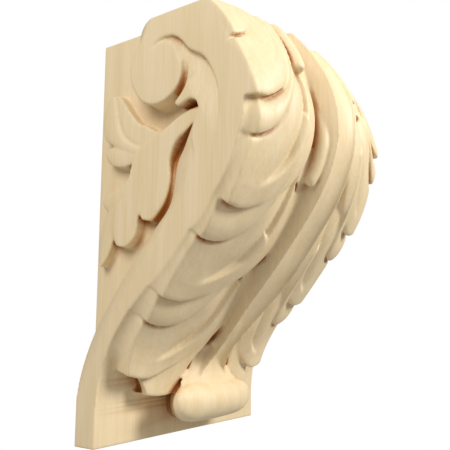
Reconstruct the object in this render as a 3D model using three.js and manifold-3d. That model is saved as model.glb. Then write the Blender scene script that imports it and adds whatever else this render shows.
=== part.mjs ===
// Carved wooden corbel: one block with a scrolled band on each side, a spray of
// acanthus in each side panel and a large acanthus leaf that falls down the front.
// Millimetres, +Z up. The origin is the centre of the flat back, +Y points at the wall.
import * as THREE from 'three';
import { mergeVertices } from 'three/addons/utils/BufferGeometryUtils.js';
import Module from 'manifold-3d';

const wasm = await Module();
wasm.setup();

// Block, in millimetres
const WIDTH = 165;
const HEIGHT = 254;

// Side profile of the band, measured out from the wall and up from the foot
const TOP_DEPTH = 77;
const NOSE_DEPTH = 120.5;
const NOSE_HEIGHT = 190;
const WAIST_DEPTH = 66;
const WAIST_HEIGHT = 106;
const FOOT_DEPTH = 16.5;
const FOOT_HEIGHT = 16;

// Side panel
const RECESS = 13.4;
const RECESS_FLARE = 1.75;
const RAMP_FLARE = 1.4;
const SPRAY_HEIGHT = 8.4;
const PETAL_STEP = 1.5;
const EYE_RADIUS = 18.9;

// Front leaf
const LEAF_EDGE_HEIGHT = 6;
const LEAF_HEIGHT = 17;
const LEAF_GROUND_DROP = 9;
const LEAF_TOP_DROP = 3;
const ROOT_SINK = 6;
const STEM_HALF_WIDTH = 9;
const STEM_CHANNEL = 3.5;

// Curled tip of the leaf, its heights measured up from the foot
const CURL_HALF_WIDTH = 39;
const CURL_DEPTH = 50.5;
const CURL_TOP = 36;
const CURL_BOTTOM = 9;
const CURL_OVERHANG = 20;

const BEDDING = 4;
const MARGIN = 6;
const HALF = WIDTH / 2;

// Solids

function toSolid(geometry) {
  const bare = geometry.clone();
  bare.deleteAttribute('normal');
  bare.deleteAttribute('uv');
  const merged = mergeVertices(bare, 1e-4);
  return new wasm.Manifold(new wasm.Mesh({
    numProp: 3,
    vertProperties: new Float32Array(merged.attributes.position.array),
    triVerts: new Uint32Array(merged.index.array),
  }));
}

function signedVolume(points, faces) {
  let total = 0;
  for (const [a, b, c] of faces) {
    const normal = new THREE.Vector3().crossVectors(points[b], points[c]);
    total += points[a].dot(normal) / 6;
  }
  return total;
}

// A closed solid through a row of rings that all have the same number of points
function loft(rings) {
  const size = rings[0].length;
  const points = rings.flat();
  const faces = [];
  for (let r = 0; r + 1 < rings.length; r += 1) {
    for (let i = 0; i < size; i += 1) {
      const a = r * size + i;
      const b = r * size + ((i + 1) % size);
      faces.push([a, b, b + size], [a, b + size, a + size]);
    }
  }
  const last = (rings.length - 1) * size;
  capFaces(rings[0]).forEach(([a, b, c]) => faces.push([c, b, a]));
  capFaces(rings[rings.length - 1]).forEach(([a, b, c]) => faces.push([last + a, last + b, last + c]));
  if (signedVolume(points, faces) < 0) {
    faces.forEach((face) => face.reverse());
  }
  const geometry = new THREE.BufferGeometry();
  geometry.setAttribute('position', new THREE.Float32BufferAttribute(points.flatMap((p) => p.toArray()), 3));
  geometry.setIndex(faces.flat());
  return toSolid(geometry);
}

// Triangles over the end of a loft, worked out in the ring's own plane
function capFaces(ring) {
  const normal = new THREE.Vector3();
  ring.forEach((p, i) => {
    const q = ring[(i + 1) % ring.length];
    normal.add(new THREE.Vector3(
      (p.y - q.y) * (p.z + q.z),
      (p.z - q.z) * (p.x + q.x),
      (p.x - q.x) * (p.y + q.y),
    ));
  });
  normal.normalize();
  const across = ring[1].clone().sub(ring[0]).cross(normal).normalize();
  const along = new THREE.Vector3().crossVectors(normal, across);
  const flat = ring.map((p) => new THREE.Vector2(p.dot(across), p.dot(along)));
  const faces = THREE.ShapeUtils.triangulateShape(flat, []);
  if (faces.length === ring.length - 2) return faces;
  return ring.slice(2).map((_, i) => [ring.length - 1, i, i + 1]);
}

function box(minimum, maximum) {
  const size = maximum.clone().sub(minimum);
  const geometry = new THREE.BoxGeometry(size.x, size.y, size.z);
  geometry.translate(...minimum.clone().add(maximum).multiplyScalar(0.5).toArray());
  return toSolid(geometry);
}

function join(solids) {
  return solids.reduce((all, solid) => all.add(solid));
}

function blend(table, at) {
  const upper = table.findIndex(([place]) => place >= at);
  if (upper === 0) return table[0][1];
  if (upper < 0) return table[table.length - 1][1];
  const [a, low] = table[upper - 1];
  const [b, high] = table[upper];
  return THREE.MathUtils.lerp(low, high, (at - a) / (b - a));
}

// Side profile of the band, from the top edge to the foot
const diagonal = Math.SQRT1_2;
const profile = new THREE.CurvePath();
const spot = (depth, height) => new THREE.Vector2(depth, height);
const TOP_PULL = 20;
const NOSE_PULL = 28;
const NOSE_SWEEP = 34;
const WAIST_PULL = 48;
const FOOT_PULL = 38;
profile.add(new THREE.CubicBezierCurve(
  spot(TOP_DEPTH, HEIGHT),
  spot(TOP_DEPTH + TOP_PULL * 0.9, HEIGHT - TOP_PULL * 0.44),
  spot(NOSE_DEPTH, NOSE_HEIGHT + NOSE_PULL),
  spot(NOSE_DEPTH, NOSE_HEIGHT),
));
profile.add(new THREE.CubicBezierCurve(
  spot(NOSE_DEPTH, NOSE_HEIGHT),
  spot(NOSE_DEPTH, NOSE_HEIGHT - NOSE_SWEEP),
  spot(WAIST_DEPTH + NOSE_SWEEP * diagonal, WAIST_HEIGHT + NOSE_SWEEP * diagonal),
  spot(WAIST_DEPTH, WAIST_HEIGHT),
));
profile.add(new THREE.CubicBezierCurve(
  spot(WAIST_DEPTH, WAIST_HEIGHT),
  spot(WAIST_DEPTH - WAIST_PULL * diagonal, WAIST_HEIGHT - WAIST_PULL * diagonal),
  spot(FOOT_DEPTH, FOOT_HEIGHT + FOOT_PULL),
  spot(FOOT_DEPTH, FOOT_HEIGHT),
));
profile.add(new THREE.LineCurve(spot(FOOT_DEPTH, FOOT_HEIGHT), spot(FOOT_DEPTH, 0)));

const PROFILE_STEPS = 300;
const frontLength = profile.getLength();
const profilePoints = profile.getSpacedPoints(PROFILE_STEPS);

// Point of the band's front and its outward normal, at a share of the front's length.
// Shares below 0 run straight on past the top edge.
function frontAt(share) {
  const place = THREE.MathUtils.clamp(share, 0, 1) * PROFILE_STEPS;
  const index = Math.min(Math.floor(place), PROFILE_STEPS - 1);
  const a = profilePoints[index];
  const b = profilePoints[index + 1];
  const run = b.clone().sub(a).normalize();
  const point = a.clone().lerp(b, place - index);
  if (share < 0) point.addScaledVector(run, share * frontLength);
  return { point, normal: new THREE.Vector2(-run.y, run.x) };
}

// Height of the leaf's crown above the band's front, at a share across and a share down
const EDGE_SWELL = [[0, 1.1], [0.15, 0.9], [0.26, 0.8], [0.32, 0.9], [0.44, 1], [0.55, 1.3], [0.65, 1.4],
  [0.75, 1.25], [0.85, 1], [1, 0.8]];
const MIDDLE_SWELL = [[0, 1.18], [0.2, 1.06], [0.31, 0.88], [0.42, 0.9], [0.53, 1], [0.63, 1.08],
  [0.74, 1.14], [0.82, 1.06], [0.9, 1], [1, 0.8]];

function crownHeight(across, down) {
  const fall = Math.min(Math.abs(across), 1) ** 2.4;
  const edge = LEAF_EDGE_HEIGHT * blend(EDGE_SWELL, down);
  const middle = LEAF_HEIGHT * blend(MIDDLE_SWELL, down);
  return THREE.MathUtils.lerp(middle, edge, fall);
}

function onFront(across, down, height) {
  const { point, normal } = frontAt(down);
  const place = point.clone().addScaledVector(normal, height);
  return new THREE.Vector3(across * HALF, -place.x, place.y - HEIGHT / 2);
}

// Places for one half of the front leaf: shares across and down, and a rise above the
// crown surface. The whole height is then taken by a share.
const frontLeaf = (side) => ({
  unit: new THREE.Vector2(HALF, frontLength),
  place: (at, rise, share = 1) => onFront(side * at.x, at.y, (crownHeight(at.x, at.y) + rise) * share),
  foot: (at) => onFront(side * at.x, at.y, -BEDDING),
});

// Places for a side panel: depth from the wall as a share of the nose's depth, height
// as a share of the block's height, and a rise above the spray's flat top
const sidePanel = (side) => ({
  unit: new THREE.Vector2(NOSE_DEPTH, HEIGHT),
  place: (at, rise, share = 1) => onSide(side, at, (SPRAY_HEIGHT + rise) * share),
  foot: (at) => onSide(side, at, -BEDDING),
});

function onSide(side, at, height) {
  return new THREE.Vector3(side * (HALF - RECESS + height), -at.x * NOSE_DEPTH, (at.y - 0.5) * HEIGHT);
}

const curveThrough = (points) => new THREE.SplineCurve(points.map(([x, y]) => new THREE.Vector2(x, y)));
const spread = (steps, low = 0, high = 1) => (
  Array.from({ length: steps + 1 }, (_, i) => THREE.MathUtils.lerp(low, high, i / steps))
);

// One leaflet: a domed tongue that follows a path, with steep walls and a round tip.
// The path is in shares, the half width and the rises are in millimetres.
const LEAFLET_STOPS = [0, 0.25, 0.5, 0.72, 0.86, 0.95, 1];
const LEAFLET_ACROSS = [-1, -0.6, 0, 0.6, 1];
const LEAFLET_FOOT = 0.93;

function leaflet(surface, { path, half, root = 0.45, crown = 0, dome = 5, sink = 0, tip = 0.78 }) {
  const curve = curveThrough(path.map(([x, y]) => [x * surface.unit.x, y * surface.unit.y]));
  return loft(LEAFLET_STOPS.map((t) => {
    const centre = curve.getPoint(t);
    const run = curve.getTangent(t);
    const out = new THREE.Vector2(-run.y, run.x);
    const swell = THREE.MathUtils.lerp(root, 1, THREE.MathUtils.smoothstep(t, 0, 0.6));
    const past = Math.max(0, (t - tip) / (1 - tip));
    const width = half * swell * Math.sqrt(Math.max(0.03, 1 - past * past));
    const lift = crown - sink * (1 - THREE.MathUtils.smoothstep(t, 0, 0.5)) - past * past;
    const at = (u) => centre.clone().addScaledVector(out, u * width).divide(surface.unit);
    const top = LEAFLET_ACROSS.map((u) => surface.place(at(u), lift - dome * Math.abs(u) ** 2.6));
    return [...top, surface.foot(at(LEAFLET_FOOT)), surface.foot(at(-LEAFLET_FOOT))];
  }));
}

// One strip: a carved surface between a lower and an upper curve, from its root (0) to
// its end (1). It dips along both edges, may have a fold, and may run out past its end
// in a skirt. A dip is a width as a share of the strip and a table of depths. A tilt
// lifts the lower edge and lowers the upper one, more and more towards the end.
const STRIP_STOPS = [0, 0.22, 0.4, 0.55, 0.68, 0.8, 0.9, 1];
const STRIP_ACROSS = [0, 0.14, 0.5, 0.86, 1];
const STRIP_FOOT = [1.03, 0.5, -0.03];
const FOLD_FOOT = [1.02, 0.65, 0.35, -0.01];
const SMALL_DIP = [0.15, [[0, 0.7], [1, 0.7]]];

function strip(surface, { lower, upper, lift = 0, sink = 0, low = SMALL_DIP, high = SMALL_DIP, blunt = 0.7,
  bulge = 0, tilt = 0, skirt = [], fold = null, stops = STRIP_STOPS }) {
  const below = curveThrough(lower);
  const above = curveThrough(upper);
  const ring = (t, offset, fraction) => {
    const at = (w) => {
      const place = below.getPoint(t).lerp(above.getPoint(t), w);
      place.x += (offset + bulge * 4 * w * (1 - w) * t ** 4) / surface.unit.x;
      return place;
    };
    const dip = ([width, depths], w) => Math.max(0, 1 - w / width) ** 2 * blend(depths, t);
    const root = sink * (1 - THREE.MathUtils.smoothstep(t, 0, 0.3));
    const share = (t === 1 ? blunt : 1) * fraction;
    const lean = (w) => tilt * t * (1 - 2 * w);
    const folded = (w) => (fold ? foldDrop(fold, t, w) : 0);
    const rise = (w) => lift + lean(w) - root - dip(low, w) - dip(high, 1 - w) - folded(w);
    const across = fold ? foldAcross(fold, t) : STRIP_ACROSS;
    const top = across.map((w) => surface.place(at(w), rise(w), share));
    return [...top, ...(fold ? FOLD_FOOT : STRIP_FOOT).map((w) => surface.foot(at(w)))];
  };
  return loft([
    ...stops.map((t) => ring(t, 0, 1)),
    ...skirt.map(([offset, share]) => ring(1, offset, share)),
  ]);
}

// A fold runs along a strip: above it the surface slopes broadly down to it, below it
// a steep wall rises to the crest of a finger that slopes away to the lower edge
function foldAcross(fold, t) {
  const place = blend(fold.place, t);
  const crest = place - fold.wall;
  return [0, crest * 0.5, crest, place, place + fold.width * 0.3, place + fold.width, 0.9, 1];
}

function foldDrop(fold, t, w) {
  const place = blend(fold.place, t);
  const depth = blend(fold.depth, t);
  if (w >= place) return depth * Math.max(0, 1 - (w - place) / fold.width) ** 2;
  const crest = place - fold.wall;
  const wall = depth * Math.max(0, 1 - (place - w) / fold.wall);
  return wall + blend(fold.slope, t) * THREE.MathUtils.clamp((crest - w) / crest, 0, 1) ** 1.4;
}

// Block: the side profile drawn across the full width
function makeBlock() {
  const outline = new THREE.Shape([spot(0, HEIGHT), ...profile.getPoints(14), spot(0, 0)]);
  const geometry = new THREE.ExtrudeGeometry(outline, { depth: WIDTH, bevelEnabled: false });
  const turn = new THREE.Matrix4().makeBasis(
    new THREE.Vector3(0, -1, 0),
    new THREE.Vector3(0, 0, 1),
    new THREE.Vector3(-1, 0, 0),
  );
  geometry.applyMatrix4(turn);
  geometry.translate(HALF, 0, -HEIGHT / 2);
  return toSolid(geometry);
}

// Side panel: a recess whose rim flares out to the band along its lower side and at
// the top, and drops straight down round the scroll's eye and its hook
const EYE_CENTRE = new THREE.Vector2(0.489, 0.8575);
const EYE_ANGLES = [309, 165];
const EYE_SPIRAL = [[165, 1.2], [200, 1.03], [240, 1], [309, 1]];
const RIM_FLOOR = [[-0.05, 0.22], [0, 0.26], [0.133, 0.354], [0.3, 0.449], [0.42, 0.512], [0.495, 0.555],
  [0.526, 0.642], [0.59, 0.677], [0.66, 0.71], [0.71, 0.74]];
const RIM_BAND = [[-0.05, 0.04], [0, 0.087], [0.166, 0.22], [0.373, 0.37], [0.548, 0.472], [0.68, 0.556],
  [0.728, 0.635], [0.712, 0.69], [0.727, 0.727], [0.751, 0.752]];
const HOOK = [[0.738, 0.768], [0.7, 0.776], [0.662, 0.771], [0.622, 0.766], [0.604, 0.777]];
const RAMP_FLOOR = [[0.302, 0.885], [0.275, 0.92], [0.268, 0.96], [0.272, 1.02]];
const RAMP_BAND = [[0.307, 0.89], [0.345, 0.925], [0.41, 0.965], [0.475, 1.02]];
const RECESS_LEVELS = [0.02, 0.35, 0.6, 0.8, 1];
const RIM_STEPS = 15;

function onEye(degrees) {
  const angle = THREE.MathUtils.degToRad(degrees);
  const radius = EYE_RADIUS * blend(EYE_SPIRAL, THREE.MathUtils.euclideanModulo(degrees, 360));
  const reach = new THREE.Vector2(radius * Math.cos(angle) / NOSE_DEPTH, radius * Math.sin(angle) / HEIGHT);
  return reach.add(EYE_CENTRE);
}

function panelOutline(level) {
  const between = (floor, band, share) => {
    const low = curveThrough(floor);
    const high = curveThrough(band);
    return (t) => high.getPoint(t).lerp(low.getPoint(t), share);
  };
  return [
    ...spread(RIM_STEPS).map(between(RIM_FLOOR, RIM_BAND, level)),
    ...HOOK.map(([x, y]) => new THREE.Vector2(x, y)),
    ...spread(9, ...EYE_ANGLES).map(onEye),
    ...spread(4).map(between(RAMP_FLOOR, RAMP_BAND, level ** (RECESS_FLARE / RAMP_FLARE))),
    new THREE.Vector2(-0.05, 1.02),
  ];
}

function makePanelCutter(side) {
  const ring = (level, raised) => panelOutline(level).map((at, i) => {
    const step = PETAL_STEP * THREE.MathUtils.smoothstep(i / RIM_STEPS, 0.6, 0.75) * (i <= RIM_STEPS ? 1 : 0);
    const depth = step + (RECESS - step) * level ** RECESS_FLARE;
    return onSide(side, at, RECESS - (raised ? -MARGIN : depth));
  });
  return loft([ring(0, true), ...RECESS_LEVELS.map((level) => ring(level, false))]);
}

// Groove between the band and the petal: a steep outer wall and a floor that rises
// inwards. Its path winds round the eye and down the petal.
const GROOVE_PATH = [[0.44, 0.925], [0.499, 0.94], [0.569, 0.941], [0.616, 0.931], [0.65, 0.916],
  [0.684, 0.896], [0.728, 0.882], [0.771, 0.869], [0.808, 0.846], [0.835, 0.82], [0.856, 0.793], [0.868, 0.765],
  [0.872, 0.73], [0.868, 0.69]];
const GROOVE_WIDTHS = [[0, 2], [0.15, 4], [0.3, 6], [0.42, 10], [0.55, 16], [0.7, 17], [0.85, 13], [1, 6]];
const GROOVE_DEPTHS = [[0, 0.2], [0.15, 3], [0.35, 3.6], [0.6, 4.2], [0.8, 3], [1, 0.1]];

function makeGrooveCutter(side) {
  const { unit } = sidePanel(side);
  const path = curveThrough(GROOVE_PATH.map(([x, y]) => [x * unit.x, y * unit.y]));
  return loft(spread(18).map((t) => {
    const run = path.getTangent(t);
    const inward = new THREE.Vector2(run.y, -run.x);
    const width = blend(GROOVE_WIDTHS, t);
    const depth = blend(GROOVE_DEPTHS, t);
    const at = (reach) => path.getPoint(t).addScaledVector(inward, reach).divide(unit);
    return [
      onSide(side, at(0), RECESS + 1),
      onSide(side, at(0.5), RECESS - depth),
      onSide(side, at(0.5 + width * 0.5), RECESS - depth * 0.65),
      onSide(side, at(0.5 + width), RECESS + 0.1),
      onSide(side, at(0.5 + width), RECESS + 1),
    ];
  }));
}

// Crescent between the eye and the petal's crest: it deepens towards the hook's tip
const CREST = [[0.566, 0.93], [0.617, 0.909], [0.662, 0.886], [0.689, 0.864], [0.695, 0.844], [0.687, 0.824],
  [0.671, 0.807], [0.645, 0.791], [0.6, 0.772]];
const CRESCENT_DEPTHS = [[0, 0.3], [0.3, 2], [0.6, 4.5], [0.85, 7], [1, 9]];

function makeCrescentCutter(side) {
  const crest = curveThrough(CREST);
  return loft(spread(9).map((t) => {
    const edge = onEye(THREE.MathUtils.lerp(62, -58, t));
    const outer = crest.getPoint(t);
    return [
      onSide(side, edge, RECESS + 1),
      onSide(side, outer, RECESS + 1),
      onSide(side, outer, RECESS - 0.1),
      onSide(side, edge.clone().lerp(outer, 0.2), RECESS - blend(CRESCENT_DEPTHS, t)),
      onSide(side, edge, RECESS - 0.1),
    ];
  }));
}

// Spray of acanthus in a side panel
const SPRAY_STOPS = [0, 0.25, 0.5, 0.7, 0.87, 1];
const SPRAY = [
  {
    lower: [[0.73, 0.74], [0.581, 0.693], [0.55, 0.606], [0.519, 0.559], [0.427, 0.517]],
    upper: [[0.73, 0.764], [0.5, 0.724], [0.349, 0.642], [0.332, 0.57], [0.373, 0.522]],
  },
  {
    lower: [[0.498, 0.701], [0.373, 0.598], [0.344, 0.524], [0.318, 0.48], [0.253, 0.461]],
    upper: [[0.465, 0.724], [0.282, 0.63], [0.183, 0.551], [0.16, 0.505], [0.199, 0.466]],
    low: [0.3, [[0, 0], [0.55, 0], [0.7, 1.6], [0.85, 0.6], [1, 0.6]]],
    high: [0.35, [[0, 0], [0.5, 0], [0.65, 0.8], [1, 1.5]]],
  },
  {
    lower: [[0.398, 0.661], [0.232, 0.575], [0.174, 0.5], [0.141, 0.452], [0.086, 0.419]],
    upper: [[0.382, 0.677], [0.158, 0.579], [0.058, 0.512], [0.041, 0.46], [0.066, 0.42]],
    lift: -1.4,
    high: [0.85, [[0, 0], [0.4, 1.5], [0.7, 3.5], [1, 3]]],
  },
  {
    lower: [[0.365, 0.622], [0.216, 0.567], [0.15, 0.554], [0.085, 0.573]],
    upper: [[0.365, 0.654], [0.224, 0.609], [0.174, 0.602], [0.085, 0.583]],
    lift: -1.6,
    low: [0.4, [[0, 0.5], [1, 1.2]]],
    high: [0.4, [[0, 0.3], [1, 1.2]]],
  },
  {
    lower: [[0.415, 0.661], [0.232, 0.657], [0.157, 0.663], [0.103, 0.689]],
    upper: [[0.415, 0.709], [0.232, 0.707], [0.173, 0.712], [0.103, 0.701]],
    lift: -0.8,
    low: [0.45, [[0, 0.3], [1, 1.5]]],
    high: [0.45, [[0, 0.3], [1, 1.5]]],
  },
  {
    lower: [[0.432, 0.677], [0.249, 0.695], [0.094, 0.733], [0.077, 0.796], [0.12, 0.841]],
    upper: [[0.432, 0.701], [0.313, 0.703], [0.199, 0.762], [0.176, 0.81], [0.154, 0.842]],
    lift: -0.4,
    low: [0.4, [[0, 0.3], [1, 1.5]]],
    high: [0.3, [[0, 0.3], [0.4, 1.8], [1, 1.2]]],
  },
  {
    lower: [[0.481, 0.701], [0.313, 0.699], [0.191, 0.764], [0.174, 0.812], [0.162, 0.839]],
    upper: [[0.5, 0.724], [0.381, 0.747], [0.27, 0.789], [0.215, 0.823], [0.17, 0.843]],
    lift: -1,
    low: [0.3, [[0, 1], [0.4, 1.6], [1, 1.4]]],
    high: [0.2, [[0, 0.5], [1, 0.8]]],
  },
];

// Front leaf: four groups on each side of the stem. A group is placed by where its tips
// end down the front, its pitch, its inner eye and its outer reach, in shares. Its
// curves run from the eye (0) to the reach (1), and in pitches above the group's tips.
// lean draws the reach in towards the tips, belly lifts the lower edge's middle.
const TOP_GROUP = {
  tips: 0.261, pitch: 0.182, eye: 0.45, reach: 0.99, lean: 0, belly: -0.09, crease: 0.8, blunt: 0.45,
  folded: 0.3, sink: 0,
};
const LOWER_GROUP = { belly: 0, lean: 0.01, crease: 0.45, blunt: 0.95, folded: 1, sink: ROOT_SINK };
const GROUPS = [
  TOP_GROUP,
  { ...LOWER_GROUP, tips: 0.44, pitch: 0.182, eye: 0.44, reach: 0.945, lean: -0.03, blunt: 0.9 },
  { ...LOWER_GROUP, tips: 0.652, pitch: 0.209, eye: 0.36, reach: 0.955 },
  { ...LOWER_GROUP, tips: 0.8525, pitch: 0.205, eye: 0.29, reach: 0.86, lean: 0.08, belly: 0.03 },
];
const EDGE = [[-0.42, -1.6], [-0.4, -1.2], [-0.31, -0.79], [-0.12, -0.42], [0.1, -0.23], [0.4, -0.09],
  [0.7, 0], [1, 0]];
const NOTCH = [[0.1, -1.75], [0.22, -1.4], [0.3, -1.12], [0.41, -0.92], [0.55, -0.76], [0.74, -0.67],
  [0.9, -0.65], [1, -0.655]];
const HIDDEN = [[0.2, -1.9], [0.3, -1.55], [0.36, -1.33], [0.5, -1.17], [0.65, -1.1], [0.8, -1.06],
  [0.92, -1.05], [1, -1.1]];
const TONGUE = [[-0.47, -1.3], [-0.45, -1.05], [-0.41, -0.8], [-0.345, -0.58], [-0.27, -0.4], [-0.21, -0.25]];
const FOLD = {
  place: [[0, 0.6], [0.14, 0.6], [0.28, 0.56], [0.43, 0.48], [0.57, 0.42], [0.7, 0.36], [0.8, 0.33],
    [1, 0.33]],
  depth: [[0, 2], [0.2, 3.4], [0.45, 4.2], [0.6, 3.6], [0.7, 2], [0.77, 0.4], [0.82, 0], [1, 0]],
  slope: [[0, 2.5], [0.3, 3.2], [0.55, 3], [0.75, 1.4], [0.9, 0.3], [1, 0]],
  width: 0.34,
  wall: 0.05,
};
const TILT = 2.2;
const LOBE_BULGE = 1.2;
const TONGUE_HALF = 7;
const OUTER_HIGH = [0.75, [[0, 5], [1, 7]]];
const COVE = [[2, 0.6], [5, 0.2], [9, -0.08]];

function makeGroup(group, side) {
  const surface = frontLeaf(side);
  const along = (curve) => curve.map(([u, v]) => {
    const arch = Math.sin(Math.PI * THREE.MathUtils.clamp(u / 0.8 - 0.25, 0, 1));
    return [
      THREE.MathUtils.lerp(group.eye, group.reach - group.lean * v, u),
      group.tips + (v + group.belly * arch) * group.pitch,
    ];
  });
  const { blunt, crease, folded, sink } = group;
  const fold = { ...FOLD, depth: FOLD.depth.map(([t, depth]) => [t, depth * folded]) };
  const creased = [0.12, [[0, 0], [crease, 0], [(1 + crease) / 2, 3.5], [1, 4.5]]];
  return [
    strip(surface, {
      lower: along(NOTCH), upper: along(HIDDEN), lift: 0.3, high: OUTER_HIGH, blunt, bulge: LOBE_BULGE,
      skirt: COVE, stops: [0, 0.35, 0.6, 0.8, 1],
    }),
    strip(surface, {
      lower: along(EDGE), upper: along(NOTCH), lift: 0.6, sink, high: creased, blunt, bulge: LOBE_BULGE,
      tilt: TILT, skirt: COVE, fold,
    }),
    leaflet(surface, { path: along(TONGUE), half: TONGUE_HALF, root: 0.7, dome: 3.5, crown: 0.2, tip: 0.85, sink }),
  ];
}

const LOWEST = {
  lower: [[0.1, 0.7], [0.16, 0.75], [0.25, 0.82], [0.33, 0.893], [0.48, 0.904], [0.66, 0.902]],
  upper: [[0.3, 0.68], [0.4, 0.74], [0.5, 0.79], [0.6, 0.82], [0.7, 0.845], [0.74, 0.86]],
  lift: -1.5,
  sink: 3,
  high: [0.7, [[0, 2], [1, 4]]],
  blunt: 0.9,
  skirt: [[-5, 0.3], [-9, -0.1]],
};

// Ground that the leaflets stand on
const GROUND_SPREAD = [[-0.1, 0.84], [0.76, 0.84], [0.82, 0.76], [0.86, 0.6], [0.89, 0.42]];
const GROUND_ACROSS = [-1, -0.7, -0.35, 0, 0.35, 0.7, 1];
const GROUND_DROP = [[0.08, LEAF_TOP_DROP], [0.24, LEAF_GROUND_DROP]];

function makeGround() {
  const rings = [];
  for (let i = 0; i <= 24; i += 1) {
    const down = THREE.MathUtils.lerp(-0.1, 0.89, i / 24);
    const spread = blend(GROUND_SPREAD, down);
    const top = GROUND_ACROSS.map((u) => {
      const ground = crownHeight(u * spread, down) - blend(GROUND_DROP, down);
      const height = Math.abs(u) === 1 ? -1 : Math.max(-1, ground);
      return onFront(u * spread, down, height);
    });
    rings.push([...top, onFront(spread, down, -BEDDING), onFront(-spread, down, -BEDDING)]);
  }
  return loft(rings);
}

// Stem: two ribs with a channel between them, which spreads into the curled tip
const STEM_SPREAD = [[-0.1, 1.9], [0.2, 1.6], [0.31, 1.45], [0.42, 1.18], [0.53, 1.08], [0.63, 0.95],
  [0.72, 0.87], [0.8, 1.1], [0.85, 1.7], [0.9, 3.4]];
const STEM_SECTION = [[-1.12, -1], [-1, 0.1], [-0.84, 0.45], [-0.6, -0.25], [0, -0.7], [0.6, -0.25],
  [0.84, 0.45], [1, 0.1], [1.12, -1]];

function makeStem() {
  const rings = [];
  for (let i = 0; i <= 20; i += 1) {
    const down = THREE.MathUtils.lerp(-0.1, 0.9, i / 20);
    const half = STEM_HALF_WIDTH * blend(STEM_SPREAD, down) / HALF;
    const top = STEM_SECTION.map(([u, rise]) => (
      onFront(u * half, down, crownHeight(u * half, down) + rise * STEM_CHANNEL)
    ));
    rings.push([...top, onFront(half * 1.12, down, -BEDDING), onFront(-half * 1.12, down, -BEDDING)]);
  }
  return loft(rings);
}

// Curled tip: a rolled tongue across the foot of the leaf, its ends free of the block
const CURL_FRONT_DRAW = 5;
const CURL_TOP_DRAW = 5;
const CURL_BOTTOM_DRAW = 9;

function makeCurl() {
  const back = FOOT_DEPTH - BEDDING;
  return loft(spread(12).map((turn) => {
    const share = -Math.cos(Math.PI * turn);
    const out = Math.abs(share);
    const full = Math.sqrt(Math.max(0.02, 1 - out ** 4.5));
    const near = back + CURL_OVERHANG * THREE.MathUtils.smoothstep(out, 0.25, 0.9);
    const far = CURL_DEPTH - CURL_FRONT_DRAW * out ** 2.5;
    const top = CURL_TOP - CURL_TOP_DRAW * out ** 2.5;
    const bottom = CURL_BOTTOM + CURL_BOTTOM_DRAW * out ** 2.6;
    return spread(12).slice(1).map((round) => {
      const angle = 2 * Math.PI * round;
      const depth = (far + near) / 2 + 2 * out ** 3 + (far - near) / 2 * full * Math.cos(angle);
      const height = (top + bottom) / 2 + (top - bottom) / 2 * full * Math.sin(angle);
      return new THREE.Vector3(share * CURL_HALF_WIDTH, -depth, height - HEIGHT / 2);
    });
  }));
}

// Everything that is proud of the block's own faces is cut back to them
function makeEnvelope() {
  const reach = NOSE_DEPTH + LEAF_HEIGHT * 3;
  return box(new THREE.Vector3(-HALF, -reach, -HEIGHT / 2), new THREE.Vector3(HALF, 0, HEIGHT / 2));
}

function makeCorbel() {
  let solid = makeBlock();
  const leaf = [makeGround(), makeStem(), makeCurl()];
  for (const side of [-1, 1]) {
    solid = solid.subtract(makePanelCutter(side));
    solid = solid.subtract(makeGrooveCutter(side));
    solid = solid.subtract(makeCrescentCutter(side));
    solid = solid.add(join(SPRAY.map((lobe) => strip(sidePanel(side), { ...lobe, stops: SPRAY_STOPS }))));
    GROUPS.forEach((group) => leaf.push(...makeGroup(group, side)));
    leaf.push(strip(frontLeaf(side), LOWEST));
  }
  return solid.add(join(leaf)).intersect(makeEnvelope());
}

function toGeometry(solid) {
  const mesh = solid.getMesh();
  const geometry = new THREE.BufferGeometry();
  geometry.setAttribute('position', new THREE.BufferAttribute(new Float32Array(mesh.vertProperties), 3));
  geometry.setIndex(new THREE.BufferAttribute(new Uint32Array(mesh.triVerts), 1));
  geometry.computeVertexNormals();
  return geometry;
}

const maple = new THREE.MeshStandardMaterial({ color: '#dcc69c', roughness: 0.55, metalness: 0 });
const corbel = new THREE.Mesh(toGeometry(makeCorbel()), maple);
corbel.name = 'acanthus_corbel';

const group = new THREE.Group();
group.add(corbel);

export default group;
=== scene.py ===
"""A carved hardwood corbel: scrolled side bands, acanthus sprays in recessed side panels,
and a large acanthus leaf with a curled tip down the front. Lengths in the carving are millimetres."""

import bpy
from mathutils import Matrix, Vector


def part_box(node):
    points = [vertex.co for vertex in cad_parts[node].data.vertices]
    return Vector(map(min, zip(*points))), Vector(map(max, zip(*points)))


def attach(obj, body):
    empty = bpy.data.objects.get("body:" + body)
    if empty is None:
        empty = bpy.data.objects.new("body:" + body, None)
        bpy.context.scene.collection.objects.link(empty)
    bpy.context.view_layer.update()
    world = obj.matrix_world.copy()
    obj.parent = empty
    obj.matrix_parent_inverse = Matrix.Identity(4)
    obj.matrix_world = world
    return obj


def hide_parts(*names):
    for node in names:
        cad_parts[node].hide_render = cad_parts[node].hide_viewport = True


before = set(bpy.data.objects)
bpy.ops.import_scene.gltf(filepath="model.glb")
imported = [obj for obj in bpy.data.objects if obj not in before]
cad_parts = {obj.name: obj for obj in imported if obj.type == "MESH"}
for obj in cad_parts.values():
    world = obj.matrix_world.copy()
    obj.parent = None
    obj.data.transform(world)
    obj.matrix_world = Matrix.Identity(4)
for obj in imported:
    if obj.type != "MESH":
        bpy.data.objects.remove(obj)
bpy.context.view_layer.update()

import math

import bpy
import numpy as np
from bpy.props import FloatProperty, FloatVectorProperty, PointerProperty
from mathutils import Matrix, Vector
from mathutils.bvhtree import BVHTree

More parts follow.
